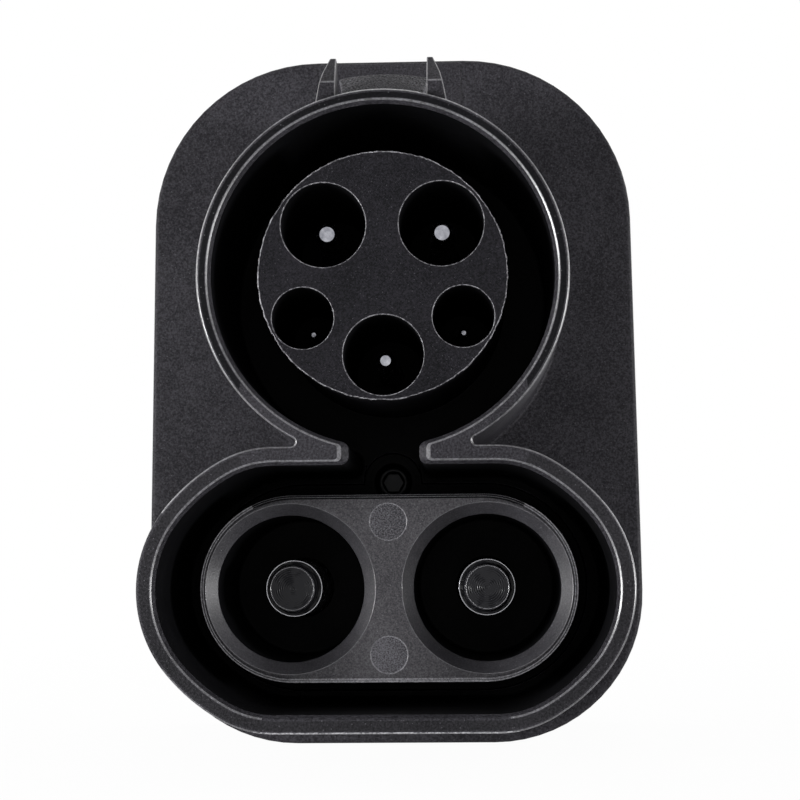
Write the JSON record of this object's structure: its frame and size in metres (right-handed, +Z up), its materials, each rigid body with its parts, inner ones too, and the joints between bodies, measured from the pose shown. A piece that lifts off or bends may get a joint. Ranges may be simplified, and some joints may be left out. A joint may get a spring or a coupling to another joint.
{
  "type": "electric vehicle charging adapter",
  "caption": "Hand-held block that joins a combined AC and DC charging plug to a car inlet: a shrouded face of pins in front, an oval plug nose behind.",
  "frame": {"origin": "centre of the bounding box, on the plane of the flat foot", "axes": "+Z up, the inlet's face looks along -Y, the plug nose points along +Y, X = 0 is the middle plane"},
  "size_m": [0.0732, 0.15, 0.102],
  "materials": {
    "moulding": "glass-filled plastic with a fine moulded grain",
    "insulator": "glass-filled plastic with a fine moulded grain",
    "cap": "turned plastic with fine rings",
    "silver_plate": "silver-plated copper, satin",
    "copper": "bare copper strip",
    "dark_screw": "blackened steel",
    "steel": "zinc-plated steel",
    "seal": "black silicone",
    "earth_wire": "yellow-green insulation",
    "signal_wire": "grey insulation",
    "board": "green solder mask",
    "switch_case": "black plastic case"
  },
  "bodies": {
    "root": {"front_housing": "moulding", "rear_housing": "moulding", "ac_insulator": "insulator", "dc_insulator": "insulator", "plug_nose": "insulator", "pin_retainer": "insulator", "dc_cap_left": "cap", "dc_cap_right": "cap", "line_pin_left": "silver_plate", "line_pin_right": "silver_plate", "earth_pin": "silver_plate", "pilot_pin": "silver_plate", "proximity_pin": "silver_plate", "dc_pin_left": "silver_plate", "dc_pin_right": "silver_plate", "power_socket_left": "silver_plate", "power_socket_right": "silver_plate", "earth_socket": "silver_plate", "pilot_socket": "silver_plate", "proximity_socket": "silver_plate", "contact_bands": "silver_plate", "dc_busbar_left": "copper", "dc_busbar_right": "copper", "floor_screw": "dark_screw", "housing_screws": "steel", "retainer_screws": "steel", "nose_screws": "steel", "busbar_screws": "steel", "board_screws": "steel", "housing_gasket": "seal", "nose_seal": "seal", "dc_pin_seals": "seal", "earth_lead": "earth_wire", "pilot_lead": "signal_wire", "proximity_lead": "signal_wire", "signal_board": "board", "thermal_switch": "switch_case"}
  },
  "joints": []
}
